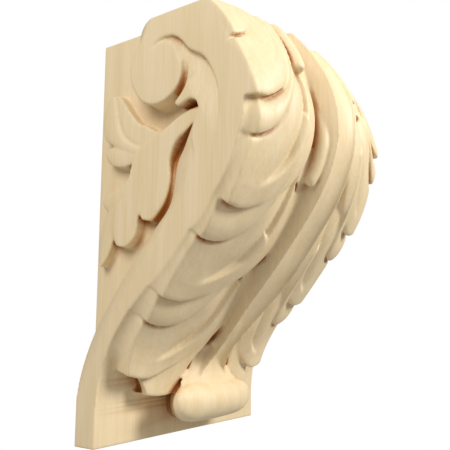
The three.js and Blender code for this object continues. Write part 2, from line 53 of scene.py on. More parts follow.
bl_info = {
    "name": "Acanthus corbel",
    "version": (1, 0, 0),
    "blender": (4, 5, 0),
    "location": "View3D > Sidebar > Corbel",
    "description": "Carves a block corbel with an acanthus leaf, side scrolls and sprays",
    "category": "Add Mesh",
}

MM = 0.001
NODE = "acanthus_corbel"
PIECE = "carved_corbel"
BODY = "root"

LOW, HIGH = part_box(NODE)
WIDTH = (HIGH.x - LOW.x) / MM
HEIGHT = (HIGH.z - LOW.z) / MM
HALF = WIDTH / 2
BEDDING = 4.0


def linear(code):
    """Linear colour of an sRGB hex code."""
    channels = [int(code[k:k + 2], 16) / 255 for k in (1, 3, 5)]
    return [c / 12.92 if c <= 0.04045 else ((c + 0.055) / 1.055)**2.4 for c in channels]


# Sizes and colours that a user would change

class CorbelSizes(bpy.types.PropertyGroup):
    recess: FloatProperty(
        name="Panel recess", description="Depth of the side panels below the band",
        default=13.4 * MM, unit="LENGTH")
    spray_height: FloatProperty(
        name="Spray height", description="Height of the spray above the panel's floor",
        default=8.4 * MM, unit="LENGTH")
    eye_radius: FloatProperty(
        name="Scroll eye", description="Radius of the round eye of the scroll",
        default=18.9 * MM, unit="LENGTH")
    leaf_height: FloatProperty(
        name="Leaf height", description="Height of the leaf's middle above the band's front",
        default=17 * MM, unit="LENGTH")
    leaf_edge: FloatProperty(
        name="Leaf edge", description="Height of the leaf's outer edge above the band's front",
        default=6 * MM, unit="LENGTH")
    leaf_step: FloatProperty(
        name="Leaf step", description="Depth by which a group's root sinks under the group above",
        default=7 * MM, unit="LENGTH")
    stem_channel: FloatProperty(
        name="Stem channel", description="Depth of the channel between the stem's two ribs",
        default=3.5 * MM, unit="LENGTH")
    curl_half_width: FloatProperty(
        name="Curl half width", description="Half the width of the curled tip",
        default=39 * MM, unit="LENGTH")
    carving_grain: FloatProperty(
        name="Carving grain", description="Size of the smallest form that the carving keeps",
        default=0.7 * MM, unit="LENGTH")


class CorbelLooks(bpy.types.PropertyGroup):
    wood: FloatVectorProperty(
        name="Wood", description="Sanded maple on the high parts", subtype="COLOR", size=3,
        default=linear("#EDD7AF"), min=0, max=1)
    grain: FloatVectorProperty(
        name="Grain", description="Darker lines of the maple's grain", subtype="COLOR", size=3,
        default=linear("#DEC391"), min=0, max=1)
    # Painted shade: this colour is mixed into the wood where the surface is enclosed, and stands for the
    # shade that falls in the hollows
    hollow: FloatVectorProperty(
        name="Hollows", description="Cut wood in the hollows, where no sanding reaches",
        subtype="COLOR", size=3, default=linear("#B06F2E"), min=0, max=1)
    floor: FloatVectorProperty(
        name="Floor", description="Matt paint of the studio floor", subtype="COLOR", size=3,
        default=linear("#F2F1EE"), min=0, max=1)
    grain_width: FloatProperty(
        name="Grain width", description="Spacing of the fine lines of the grain",
        default=1.1 * MM, unit="LENGTH")
    grain_length: FloatProperty(
        name="Grain length", description="Length of the fine lines of the grain",
        default=38 * MM, unit="LENGTH")


def size(name):
    """A size of the corbel in millimetres."""
    return getattr(bpy.context.scene.corbel_sizes, name) / MM


# Side profile of the band, out from the wall and up from the foot

TOP_DEPTH = 77.0
NOSE_DEPTH = 120.5
NOSE_HEIGHT = 190.0
WAIST_DEPTH = 66.0
WAIST_HEIGHT = 106.0
FOOT_DEPTH = 16.5
FOOT_HEIGHT = 16.0
TOP_PULL = 20.0
TOP_LEAN = (0.9, -0.44)
NOSE_PULL = 28.0
NOSE_SWEEP = 34.0
WAIST_PULL = 48.0
FOOT_PULL = 38.0
PROFILE_STEPS = 300
BLOCK_STRIDE = 6
NORMAL_REACH = 1.5


# Curves and tables

RUN_STEP = 0.01


def smooth_table(table, at):
    """Value of a table of (place, value) pairs on a smooth curve through them."""
    places, values = np.array(table, float).T
    slopes = np.gradient(values, places)
    at = np.clip(np.asarray(at, float), places[0], places[-1])
    index = np.clip(np.searchsorted(places, at) - 1, 0, len(places) - 2)
    span = places[index + 1] - places[index]
    t = (at - places[index]) / span
    return (
        (2 * t**3 - 3 * t**2 + 1) * values[index]
        + (t**3 - 2 * t**2 + t) * span * slopes[index]
        + (3 * t**2 - 2 * t**3) * values[index + 1]
        + (t**3 - t**2) * span * slopes[index + 1]
    )


def smooth_step(t, low, high):
    t = np.clip((np.asarray(t, float) - low) / (high - low), 0, 1)
    return t * t * (3 - 2 * t)


def spline(points, t):
    """Points of a curve through the given points, at shares t of its spans."""
    points = np.array(points, float)
    place = np.clip(np.asarray(t, float), 0, 1) * (len(points) - 1)
    index = np.minimum(place.astype(int), len(points) - 2)
    w = (place - index)[..., None]
    a = points[np.maximum(index - 1, 0)]
    b = points[index]
    c = points[index + 1]
    d = points[np.minimum(index + 2, len(points) - 1)]
    return 0.5 * (2 * b + (c - a) * w + (2 * a - 5 * b + 4 * c - d) * w**2 + (3 * b - a - 3 * c + d) * w**3)


def run_along(path, t):
    """Unit directions of the curve through the path's points, at shares t."""
    step = spline(path, np.minimum(t + RUN_STEP, 1)) - spline(path, np.maximum(t - RUN_STEP, 0))
    return step / np.linalg.norm(step, axis=1, keepdims=True)


def bezier(a, b, c, d, t):
    t = np.asarray(t, float)[:, None]
    return (1 - t)**3 * a + 3 * (1 - t)**2 * t * b + 3 * (1 - t) * t**2 * c + t**3 * d


def profile_curve():
    """The band's side profile from the top edge to the foot, as depths and heights."""
    t = np.linspace(0, 1, PROFILE_STEPS)
    slant = math.sqrt(0.5)
    top = np.array([TOP_DEPTH, HEIGHT])
    nose = np.array([NOSE_DEPTH, NOSE_HEIGHT])
    waist = np.array([WAIST_DEPTH, WAIST_HEIGHT])
    foot = np.array([FOOT_DEPTH, FOOT_HEIGHT])
    upright = np.array([0.0, 1.0])
    diagonal = np.array([slant, slant])
    parts = [
        bezier(top, top + TOP_PULL * np.array(TOP_LEAN), nose + NOSE_PULL * upright, nose, t),
        bezier(nose, nose - NOSE_SWEEP * upright, waist + NOSE_SWEEP * diagonal, waist, t)[1:],
        bezier(waist, waist - WAIST_PULL * diagonal, foot + FOOT_PULL * upright, foot, t)[1:],
        np.array([[FOOT_DEPTH, 0.0]]),
    ]
    return np.concatenate(parts)


PROFILE = profile_curve()
PROFILE_LENGTH = np.concatenate([[0], np.cumsum(np.hypot(*np.diff(PROFILE, axis=0).T))])
FRONT_LENGTH = PROFILE_LENGTH[-1]


def front_at(share):
    """Depth, height and outward normal of the band's front at a share of its length."""
    length = np.asarray(share, float) * FRONT_LENGTH
    inside = np.clip(length, 0, FRONT_LENGTH)
    point = np.stack([np.interp(inside, PROFILE_LENGTH, PROFILE[:, k]) for k in (0, 1)], -1)
    ahead = np.clip(inside + NORMAL_REACH, 0, FRONT_LENGTH)
    behind = np.clip(inside - NORMAL_REACH, 0, FRONT_LENGTH)
    run = np.stack([
        np.interp(ahead, PROFILE_LENGTH, PROFILE[:, k]) - np.interp(behind, PROFILE_LENGTH, PROFILE[:, k])
        for k in (0, 1)
    ], -1)
    run /= np.linalg.norm(run, axis=-1, keepdims=True)
    point = point + run * np.minimum(length, 0)[..., None]
    return point, np.stack([-run[..., 1], run[..., 0]], -1)


CROWN_FALL = 2.4
EDGE_SWELL = [(-0.1, 1.9), (0, 1.8), (0.08, 1.45), (0.15, 1.0), (0.26, 0.8), (0.32, 0.9), (0.44, 1),
              (0.55, 1.3), (0.65, 1.4), (0.75, 1.25), (0.85, 1), (1, 0.8)]
MIDDLE_SWELL = [(-0.1, 1.2), (0, 1.18), (0.2, 1.06), (0.31, 0.88), (0.42, 0.9), (0.53, 1), (0.63, 1.08),
                (0.74, 1.14), (0.82, 1.06), (0.9, 1), (1, 0.8)]


def crown_height(across, down):
    """Height of the leaf's crown above the band's front."""
    fall = np.minimum(np.abs(across), 1)**CROWN_FALL
    edge = size("leaf_edge") * smooth_table(EDGE_SWELL, down)
    middle = size("leaf_height") * smooth_table(MIDDLE_SWELL, down)
    return middle + (edge - middle) * fall


def on_front(across, down, height):
    """Points at shares across and down the band's front, and a height above it."""
    point, normal = front_at(down)
    place = point + normal * np.asarray(height, float)[..., None]
    sideways = np.asarray(across) * HALF + 0 * place[..., 0]
    return np.stack([sideways, -place[..., 0], place[..., 1] - HEIGHT / 2], -1)


def on_side(at, height):
    """Points at shares of the side, and a height above the panel's floor."""
    outward = HALF - size("recess") + np.asarray(height, float) + 0 * at[..., 0]
    return np.stack([outward, -at[..., 0] * NOSE_DEPTH, (at[..., 1] - 0.5) * HEIGHT], -1)


class FrontLeaf:
    """Places on the leaf: shares across and down the front, and a rise above the crown."""
    unit = np.array([HALF, FRONT_LENGTH])

    def place(self, at, rise, share=1.0):
        return on_front(at[..., 0], at[..., 1], (crown_height(at[..., 0], at[..., 1]) + rise) * share)

    def foot(self, at):
        return on_front(at[..., 0], at[..., 1], np.full(at.shape[:-1], -BEDDING))


class SidePanel:
    """Places in a panel: shares of its depth and height, and a rise above the spray's top."""
    unit = np.array([NOSE_DEPTH, HEIGHT])

    def place(self, at, rise, share=1.0):
        return on_side(at, (size("spray_height") + rise) * share)

    def foot(self, at):
        return on_side(at, -BEDDING)


FRONT = FrontLeaf()
PANEL = SidePanel()


# Meshes

def clear_selection():
    bpy.ops.object.select_all(action="DESELECT")


def activate(piece):
    clear_selection()
    piece.select_set(True)
    bpy.context.view_layer.objects.active = piece


def new_piece(name, points, faces):
    """An object with the given points, in millimetres, and faces."""
    mesh = bpy.data.meshes.new(name)
    mesh.from_pydata((np.asarray(points, float) * MM).tolist(), [], faces)
    piece = bpy.data.objects.new(name, mesh)
    bpy.context.scene.collection.objects.link(piece)
    activate(piece)
    return piece


def loft(name, rings):
    """A closed mesh through an array of rings, given in millimetres, with fan caps."""
    rings = np.asarray(rings, float)
    count, around = rings.shape[:2]
    points = np.concatenate([rings.reshape(-1, 3), rings[0].mean(0)[None], rings[-1].mean(0)[None]])
    index = np.arange(count * around).reshape(count, around)
    after = np.roll(index, -1, axis=1)
    sides = np.stack([index[:-1], after[:-1], after[1:], index[1:]], -1).reshape(-1, 4)
    faces = [tuple(face) for face in sides.tolist()]
    first = count * around
    last = first + 1
    for i in range(around):
        j = (i + 1) % around
        faces.append((j, i, first))
        faces.append((first - around + i, first - around + j, last))
    piece = new_piece(name, points, faces)
    bpy.ops.object.mode_set(mode="EDIT")
    bpy.ops.mesh.select_all(action="SELECT")
    bpy.ops.mesh.quads_convert_to_tris()
    bpy.ops.mesh.normals_make_consistent(inside=False)
    bpy.ops.object.mode_set(mode="OBJECT")
    return piece


LEAFLET_FOOT = (0.93, 0.0, -0.93)
LEAFLET_ROUND = 2.6


def leaflet(name, surface, path, half, root, crown, dome, sink, tip, steps=44, across=24):
    """One leaflet: a domed tongue along a path, with steep walls and a round tip."""
    t = np.sin(np.linspace(0, math.pi / 2, steps))
    path = np.array(path, float) * surface.unit
    centre = spline(path, t)
    run = run_along(path, t)
    out = np.stack([-run[:, 1], run[:, 0]], -1)
    swell = root + (1 - root) * smooth_step(t, 0, 0.6)
    past = np.clip((t - tip) / (1 - tip), 0, 1)
    width = half * swell * np.sqrt(np.maximum(0.01, 1 - past**2))
    lift = crown - sink * (1 - smooth_step(t, 0, 0.5)) - past**2
    u = np.sin(np.linspace(-math.pi / 2, math.pi / 2, across))

    def beside(offsets):
        spread = np.array(offsets)[None, :, None] * width[:, None, None]
        return (centre[:, None] + out[:, None] * spread) / surface.unit

    top = surface.place(beside(u), lift[:, None] - dome * np.abs(u[None])**LEAFLET_ROUND)
    return loft(name, np.concatenate([top, surface.foot(beside(LEAFLET_FOOT))], axis=1))


FINGER_CURVE = 1.4


def fold_drop(fold, t, w):
    """Drop of a folded surface: a slope down to the fold, then a steep wall up to a finger's crest."""
    place = smooth_table(fold["place"], t)[:, None]
    depth = smooth_table(fold["depth"], t)[:, None]
    slope = smooth_table(fold["slope"], t)[:, None]
    beyond = np.maximum(0, 1 - (w[None] - place) / fold["width"])**2
    wall = np.maximum(0, 1 - (place - w[None]) / fold["wall"])
    crest = place - fold["wall"]
    fall = slope * np.clip((crest - w[None]) / crest, 0, 1)**FINGER_CURVE
    return np.where(w[None] > place, depth * beyond, depth * wall + fall)


SMALL_DIP = (0.15, [(0, 0.7), (1, 0.7)])
BURIED = 0.06


def strip(name, surface, lower, upper, lift=0.0, sink=0.0, sunk=0.3, low=SMALL_DIP, high=SMALL_DIP,
          rounding=0.04, blunt=0.7, bulge=0.0, tilt=0.0, skirt=(), fade=0.0, fold=None, steps=56,
          across=36):
    """A carved strip between two curves, rounded over at its far end.

    A dip is the reach across the strip and the depths along it by which an edge sinks. A skirt is
    a list of steps outward and shares of the height by which the far end runs out."""
    t = np.sin(np.linspace(0, math.pi / 2, steps))
    w = 0.5 - 0.5 * np.cos(np.linspace(0, math.pi, across))
    if fold:
        w = np.linspace(0, 1, across)
    a = spline(np.array(lower, float), t)
    b = spline(np.array(upper, float), t)
    at = a[:, None] + (b - a)[:, None] * w[None, :, None]
    at[..., 0] += bulge / surface.unit[0] * (4 * w * (1 - w))[None] * (t**4)[:, None]
    dip_low = np.maximum(0, 1 - w / low[0])[None]**2 * smooth_table(low[1], t)[:, None]
    dip_high = np.maximum(0, 1 - (1 - w) / high[0])[None]**2 * smooth_table(high[1], t)[:, None]
    rise = lift - sink * (1 - smooth_step(t, 0, sunk))[:, None] - dip_low - dip_high
    rise = rise + tilt * t[:, None] * (1 - 2 * w[None])
    if fold:
        rise = rise - fold_drop(fold, t, w)
    past = np.clip((t - 1 + rounding) / rounding, 0, 1) if rounding else 0 * t
    share = (1 - (1 - blunt) * (1 - np.sqrt(1 - past**2)))[:, None]
    share = share + 0 * w[None]
    low_fade = smooth_step(w, 0, fade) if fade else 1 + 0 * w
    for offset, fraction in skirt:
        outer = at[len(t) - 1] + np.array([offset / surface.unit[0], 0])
        at = np.concatenate([at, outer[None]])
        rise = np.concatenate([rise, rise[len(t) - 1][None]])
        faded = share[len(t) - 1] * (fraction * low_fade - BURIED * (1 - low_fade))
        share = np.concatenate([share, faded[None]])
    top = surface.place(at, rise, share)
    foot = at[:, [-2, across // 2, 1]]
    return loft(name, np.concatenate([top, surface.foot(foot)], axis=1))


def join_pieces(pieces, name):
    clear_selection()
    for piece in pieces:
        piece.select_set(True)
    bpy.context.view_layer.objects.active = pieces[0]
    bpy.ops.object.join()
    pieces[0].name = name
    return pieces[0]


def mirror_half(piece):
    """Adds the mirrored copy on the other side of the middle plane."""
    activate(piece)
    bpy.ops.object.duplicate()
    other = bpy.context.view_layer.objects.active
    other.data.transform(Matrix.Scale(-1, 4, Vector((1, 0, 0))))
    other.data.flip_normals()
    return join_pieces([piece, other], piece.name)


def boolean(piece, other, operation):
    activate(piece)
    cut = piece.modifiers.new(operation.lower(), "BOOLEAN")
    cut.object = other
    cut.operation = operation
    cut.solver = "MANIFOLD"
    bpy.ops.object.modifier_apply(modifier=cut.name)
    bpy.data.objects.remove(other)


def voxel_remesh(piece, size_mm):
    activate(piece)
    remesh = piece.modifiers.new("remesh", "REMESH")
    remesh.mode = "VOXEL"
    remesh.voxel_size = size_mm * MM
    remesh.use_smooth_shade = True
    bpy.ops.object.modifier_apply(modifier=remesh.name)


# Block and side panels

def make_block():
    """The side profile drawn across the full width."""
    outline = np.concatenate([[[0.0, HEIGHT]], PROFILE[::BLOCK_STRIDE], [[FOOT_DEPTH, 0.0], [0.0, 0.0]]])
    points = [(-HALF, -depth, height - HEIGHT / 2) for depth, height in outline]
    block = new_piece("block", points, [tuple(range(len(points)))])
    bpy.ops.object.mode_set(mode="EDIT")
    bpy.ops.mesh.select_all(action="SELECT")
    bpy.ops.mesh.extrude_region_move(TRANSFORM_OT_translate={"value": (WIDTH * MM, 0, 0)})
    bpy.ops.mesh.select_all(action="SELECT")
    bpy.ops.mesh.remove_doubles(threshold=0.01 * MM)
    bpy.ops.mesh.quads_convert_to_tris()
    bpy.ops.mesh.normals_make_consistent(inside=False)
    bpy.ops.object.mode_set(mode="OBJECT")
    return block


RECESS_FLARE = 1.75
EYE_CENTRE = (0.489, 0.8575)
EYE_ANGLES = (309, 165)
EYE_SPIRAL = [(165, 1.2), (200, 1.03), (240, 1), (309, 1)]
RIM_FLOOR = [(-0.05, 0.22), (0, 0.26), (0.133, 0.354), (0.3, 0.449), (0.42, 0.512), (0.495, 0.555),
             (0.526, 0.642), (0.59, 0.677), (0.66, 0.71), (0.71, 0.74)]
RIM_BAND = [(-0.05, 0.04), (0, 0.087), (0.166, 0.22), (0.373, 0.37), (0.548, 0.472), (0.68, 0.556),
            (0.728, 0.635), (0.712, 0.69), (0.727, 0.727), (0.751, 0.752)]
HOOK = [(0.738, 0.768), (0.7, 0.776), (0.662, 0.771), (0.622, 0.766), (0.604, 0.777)]
RAMP_FLOOR = [(0.302, 0.885), (0.275, 0.92), (0.268, 0.96), (0.272, 1.02)]
RAMP_BAND = [(0.307, 0.89), (0.345, 0.925), (0.41, 0.965), (0.475, 1.02)]
RAMP_FLARE = 1.4
PANEL_CORNER = (-0.05, 1.02)
PETAL_STEP = 1.5
PETAL_START = (0.6, 0.75)
CUTTER_RISE = 6.0
RIM_STEPS = 72
HOOK_STEPS = 20
EYE_STEPS = 34
RAMP_STEPS = 16
RECESS_LEVELS = np.linspace(0.02, 1, 16)
FULL_ROUND = 100


def on_eye(degrees):
    """Places round the scroll's eye, whose radius grows towards the top of the block."""
    turned = np.mod(degrees, 360)
    radius = size("eye_radius") * np.where(turned < FULL_ROUND, 1, smooth_table(EYE_SPIRAL, turned))
    angle = np.radians(degrees)
    return np.stack([
        EYE_CENTRE[0] + radius * np.cos(angle) / NOSE_DEPTH,
        EYE_CENTRE[1] + radius * np.sin(angle) / HEIGHT,
    ], -1)


def panel_outline(level):
    """The panel's edge between the band (0) and the floor (1), in shares."""
    t = np.linspace(0, 1, RIM_STEPS)
    rim = spline(RIM_BAND, t) * (1 - level) + spline(RIM_FLOOR, t) * level
    hook = spline(HOOK, np.linspace(0, 1, HOOK_STEPS))
    eye = on_eye(np.linspace(*EYE_ANGLES, EYE_STEPS))
    t = np.linspace(0, 1, RAMP_STEPS)
    share = level**(RECESS_FLARE / RAMP_FLARE)
    ramp = spline(RAMP_BAND, t) * (1 - share) + spline(RAMP_FLOOR, t) * share
    return np.concatenate([rim, hook, eye, ramp, [PANEL_CORNER]])


def make_panel_cutter():
    recess = size("recess")
    line = panel_outline(0)
    step = np.zeros(len(line))
    rim = np.linspace(0, 1, RIM_STEPS)
    step[:RIM_STEPS] = PETAL_STEP * smooth_step(rim, *PETAL_START)
    rings = [on_side(line, recess + CUTTER_RISE), on_side(line, recess)]
    for level in RECESS_LEVELS:
        depth = step + (recess - step) * level**RECESS_FLARE
        rings.append(on_side(panel_outline(level), recess - depth))
    return mirror_half(loft("panel_cutter", rings))


# A section's points: inset, share of the width, height above the band, share of the depth
GROOVE_SECTION = [(0, 0, 1.0, 0), (0.5, 0, 0, -1), (0.5, 0.3, 0, -0.86), (0.5, 0.6, 0, -0.55),
                  (0.5, 1, 0.1, 0), (0.5, 1, 1.0, 0)]
GROOVE_STEPS = 70
GROOVE_WIDTHS = [(0, 2), (0.15, 4), (0.3, 6), (0.42, 10), (0.55, 16), (0.7, 17), (0.85, 13), (1, 6)]
GROOVE_DEPTHS = [(0, 0.2), (0.15, 3), (0.35, 3.6), (0.6, 4.2), (0.8, 3), (1, 0.1)]
GROOVE_PATH = [(0.44, 0.925), (0.499, 0.94), (0.569, 0.941), (0.616, 0.931), (0.65, 0.916), (0.684, 0.896),
               (0.728, 0.882), (0.771, 0.869), (0.808, 0.846), (0.835, 0.82), (0.856, 0.793), (0.868, 0.765),
               (0.872, 0.73), (0.868, 0.69)]


def make_groove_cutter():
    """Groove between the band and the petal, with a steep outer wall."""
    t = np.linspace(0, 1, GROOVE_STEPS)
    path = np.array(GROOVE_PATH) * PANEL.unit
    centre = spline(path, t)
    run = run_along(path, t)
    inward = np.stack([run[:, 1], -run[:, 0]], -1)
    depth = smooth_table(GROOVE_DEPTHS, t)
    width = smooth_table(GROOVE_WIDTHS, t)
    rings = []
    for offset, reach, height, drop in GROOVE_SECTION:
        at = (centre + inward * (offset + width * reach)[:, None]) / PANEL.unit
        rings.append(on_side(at, size("recess") + height + drop * depth))
    return mirror_half(loft("groove_cutter", np.stack(rings, axis=1)))


CREST = [(0.566, 0.93), (0.617, 0.909), (0.662, 0.886), (0.689, 0.864), (0.695, 0.844), (0.687, 0.824),
         (0.671, 0.807), (0.645, 0.791), (0.6, 0.772)]
CRESCENT_ANGLES = (62, -58)
CRESCENT_STEPS = 60
# A section's points: share of the way to the crest, height above the band, share of the depth
CRESCENT_SECTION = [(0, 1.0, 0), (1, 1.0, 0), (1, -0.1, 0), (0.7, 0, -0.38), (0.45, 0, -0.7), (0.2, 0, -1),
                    (0, 0.1, 0)]
CRESCENT_DEPTHS = [(0, 0.3), (0.3, 2), (0.6, 4.5), (0.85, 7), (1, 9)]


def make_crescent_cutter():
    """Crescent between the eye and the petal's crest, deepening towards the hook's tip."""
    t = np.linspace(0, 1, CRESCENT_STEPS)
    start, end = CRESCENT_ANGLES
    eye = on_eye(start + (end - start) * t)
    crest = spline(CREST, t)
    depth = smooth_table(CRESCENT_DEPTHS, t)
    rings = [
        on_side(eye + (crest - eye) * w, size("recess") + height + drop * depth)
        for w, height, drop in CRESCENT_SECTION
    ]
    return mirror_half(loft("crescent_cutter", np.stack(rings, axis=1)))


# Side sprays, in millimetres out from the wall and up from the foot

SPRAY = [
    dict(name="right_lobe",
         lower=[(88, 188), (79, 181.7), (70, 175.9), (65.6, 166), (66.3, 154), (62.5, 142),
                (55, 133.5), (51.4, 131.3)],
         upper=[(88, 194), (76, 192), (60.3, 184), (46, 176), (42, 163), (40, 150), (40, 141), (45, 132.5)],
         high=(0.15, [(0, 0.7), (0.3, 0), (0.7, 0), (0.85, 0.8), (1, 0.8)])),
    dict(name="mid_lobe",
         lower=[(60, 178), (50, 165), (45, 152), (42, 142), (41.5, 133), (39.5, 125), (35, 119), (30.5, 117)],
         upper=[(56, 184), (38, 172), (34, 160), (28, 148), (22, 140), (19, 132), (20.5, 124), (24, 118.3)],
         low=(0.3, [(0, 0), (0.55, 0), (0.7, 1.6), (0.85, 0.6), (1, 0.6)]),
         high=(0.35, [(0, 0), (0.5, 0), (0.65, 0.8), (1, 1.5)])),
    dict(name="low_lobe",
         lower=[(48, 168), (34, 156), (28, 146), (24, 136), (21, 127), (19, 119), (15, 111), (10.4, 106.3)],
         upper=[(46, 172), (30, 158), (19, 147), (12, 138), (7, 130), (5, 121), (5, 113), (8, 106.8)],
         lift=-1.4, high=(0.85, [(0, 0), (0.4, 1.5), (0.7, 3.5), (1, 3)])),
    dict(name="third_lobe",
         lower=[(44, 158), (34, 150), (26, 144), (18.1, 140.8), (12, 142), (10.2, 145.5)],
         upper=[(44, 166), (36, 158), (27, 154.6), (21, 153), (13, 151.5), (10.2, 148)],
         lift=-1.6, low=(0.4, [(0, 0.5), (1, 1.2)]), high=(0.4, [(0, 0.3), (1, 1.2)])),
    dict(name="second_lobe",
         lower=[(50, 168), (38, 168), (28, 166.8), (18.9, 168.4), (14, 171.5), (12.4, 175)],
         upper=[(50, 180), (38, 178), (28, 179.5), (20.8, 180.9), (15, 180.5), (12.4, 178)],
         lift=-0.8, low=(0.45, [(0, 0.3), (1, 1.5)]), high=(0.45, [(0, 0.3), (1, 1.5)])),
    dict(name="upper_outer",
         lower=[(52, 172), (40, 172.5), (30, 176.5), (20, 181), (11.3, 186.2), (8.6, 196),
                (10.2, 207.4), (14.5, 213.5)],
         upper=[(52, 178), (45.2, 175.8), (37.7, 178.5), (29.5, 184.3), (24, 193.6), (22, 202),
                (20.5, 209), (18.5, 213.8)],
         lift=-0.4, low=(0.4, [(0, 0.3), (1, 1.5)]), high=(0.3, [(0, 0.3), (0.4, 1.8), (1, 1.2)])),
    dict(name="upper_inner",
         lower=[(58, 178), (45.2, 175.6), (37.7, 177.5), (28, 184.3), (23, 194), (21.5, 203),
                (20.5, 209), (19.5, 213)],
         upper=[(60.3, 184), (53.5, 185.3), (45.9, 189.8), (39, 193), (32.5, 200.3), (28, 206.5),
                (23.8, 211.9), (20.5, 214.2)],
         lift=-1.0, low=(0.3, [(0, 1), (0.4, 1.6), (1, 1.4)]), high=(0.2, [(0, 0.5), (1, 0.8)])),
]


def make_spray():
    """The acanthus spray in each side panel."""
    pieces = []
    for lobe in SPRAY:
        shape = dict(lobe)
        for edge in ("lower", "upper"):
            shape[edge] = [(depth / NOSE_DEPTH, height / HEIGHT) for depth, height in shape[edge]]
        pieces.append(strip(surface=PANEL, rounding=0, steps=36, across=20, **shape))
    return mirror_half(join_pieces(pieces, "spray"))


# Front leaf

LOWER_GROUP = dict(belly=0, lean=0.01, crease=0.45, blunt=0.95, fold=1, sink=1, above=0, draw=0,
                   tongue=0, fade=0)
GROUPS = [
    dict(LOWER_GROUP, tips=0.261, pitch=0.182, eye=0.585, reach=0.99, lean=0, belly=-0.02,
         crease=0.6, blunt=0.45, fold=0.3, sink=0, above=0.8, tongue=-0.02),
    dict(LOWER_GROUP, tips=0.44, pitch=0.182, eye=0.44, reach=0.945, lean=-0.03, blunt=0.9,
         draw=0.3, tongue=-0.09),
    dict(LOWER_GROUP, tips=0.652, pitch=0.209, eye=0.36, reach=0.955),
    dict(LOWER_GROUP, tips=0.8525, pitch=0.205, eye=0.29, reach=0.86, lean=0.08, belly=0.03,
         tongue=0.02, fade=0.4),
]
EDGE = [(-0.42, -1.6), (-0.4, -1.2), (-0.31, -0.79), (-0.12, -0.42), (0.1, -0.23), (0.4, -0.09),
        (0.7, 0.0), (1, 0)]
NOTCH = [(0.1, -1.75), (0.22, -1.4), (0.3, -1.12), (0.41, -0.92), (0.55, -0.76), (0.74, -0.67),
         (0.9, -0.65), (1, -0.655)]
HIDDEN = [(0.2, -1.9), (0.3, -1.55), (0.36, -1.33), (0.5, -1.17), (0.65, -1.1), (0.8, -1.06),
          (0.92, -1.05), (1, -1.1)]
TONGUE = [(-0.5, -1.3), (-0.49, -1.05), (-0.47, -0.85), (-0.43, -0.66), (-0.385, -0.5), (-0.34, -0.4)]
FOLD_PLACE = [(0, 0.6), (0.14, 0.6), (0.28, 0.56), (0.43, 0.48), (0.57, 0.42), (0.7, 0.36),
              (0.8, 0.33), (1, 0.33)]
FOLD_DEPTH = [(0, 2), (0.2, 3.4), (0.45, 4.2), (0.6, 3.6), (0.7, 2), (0.77, 0.4), (0.82, 0), (1, 0)]
FOLD_SLOPE = [(0, 2.5), (0.3, 3.2), (0.55, 3), (0.75, 1.4), (0.9, 0.3), (1, 0)]
FOLD_WIDTH = 0.34
FOLD_WALL = 0.05
COVE = [(0.6, 0.72), (1.4, 0.5), (2.6, 0.3), (4.2, 0.14), (6.5, 0.02), (9, -0.08)]
UNDERCUT = [(-1.5, 0.7), (-5, 0.3), (-9, -0.1)]
COVERED_EDGE = (0.75, [(0, 5), (1, 7)])
OPEN_EDGE = (0.1, [(0, 0.5), (1, 0.5)])
CREASE_WIDTH = 0.1
CREASE_DEPTHS = (4, 5)
LOBE_BULGE = 1.2
OUTER_STRIP = dict(lift=1.0, bulge=LOBE_BULGE, low=(0.2, [(0, 0), (1, 1.2)]), skirt=COVE)
BODY_STRIP = dict(lift=0.6, sunk=0.4, bulge=LOBE_BULGE, low=(0.08, [(0, 0.8), (1, 0.8)]), tilt=2.2,
                  skirt=COVE, across=64)
TONGUE_SHAPE = dict(half=4.4, root=0.7, dome=3.0, crown=1.4, tip=0.85)

LOWEST_EDGE = [(0.1, 0.7), (0.16, 0.75), (0.25, 0.82), (0.33, 0.893), (0.48, 0.906), (0.63, 0.902)]
LOWEST_HIDDEN = [(0.3, 0.68), (0.4, 0.74), (0.5, 0.79), (0.6, 0.82), (0.68, 0.845), (0.71, 0.86)]
LOWEST_STRIP = dict(lift=-1.5, sink=3, high=(0.7, [(0, 2), (1, 4)]), skirt=UNDERCUT, blunt=0.9)


def group_curve(group, curve, raised=0.0, shifted=0.0, drawn=0.0):
    """Places a group's curve: across from its eye to its reach, and down in pitches from its tips."""
    places = []
    for u, v in curve:
        across = group["eye"] + (group["reach"] - group["lean"] * v - group["eye"]) * (u + shifted)
        arch = group["belly"] * math.sin(math.pi * min(max(u / 0.8 - 0.25, 0), 1))
        rise = v - raised - drawn * max(0, min(1, 1 - u)) + arch
        places.append((across, group["tips"] + group["pitch"] * rise))
    return places


def make_groups():
    """Four groups on each side of the stem, each a folded body, an outer lobe and a tongue."""
    pieces = []
    mild, deep = CREASE_DEPTHS
    for number, group in enumerate(GROUPS):
        edge = group_curve(group, EDGE)
        notch = group_curve(group, NOTCH, drawn=group["draw"])
        hidden = group_curve(group, HIDDEN, raised=group["above"])
        tongue = group_curve(group, TONGUE, shifted=group["tongue"])
        crease = group["crease"]
        creased = (CREASE_WIDTH, [(0, 0), (crease, 0), (crease / 2 + 0.5, mild), (1, deep)])
        covered = OPEN_EDGE if group["above"] else COVERED_EDGE
        sink = size("leaf_step") * group["sink"]
        fold = dict(place=FOLD_PLACE, slope=FOLD_SLOPE, width=FOLD_WIDTH, wall=FOLD_WALL,
                    depth=[(t, depth * group["fold"]) for t, depth in FOLD_DEPTH])
        pieces += [
            strip(f"outer_{number}", FRONT, notch, hidden, blunt=group["blunt"], high=covered,
                  **OUTER_STRIP),
            strip(f"body_{number}", FRONT, edge, notch, blunt=group["blunt"], high=creased,
                  sink=sink, fold=fold, fade=group["fade"], **BODY_STRIP),
            leaflet(f"tongue_{number}", FRONT, tongue, sink=sink, **TONGUE_SHAPE),
        ]
    pieces.append(strip("lowest", FRONT, LOWEST_EDGE, LOWEST_HIDDEN, **LOWEST_STRIP))
    return mirror_half(join_pieces(pieces, "groups"))


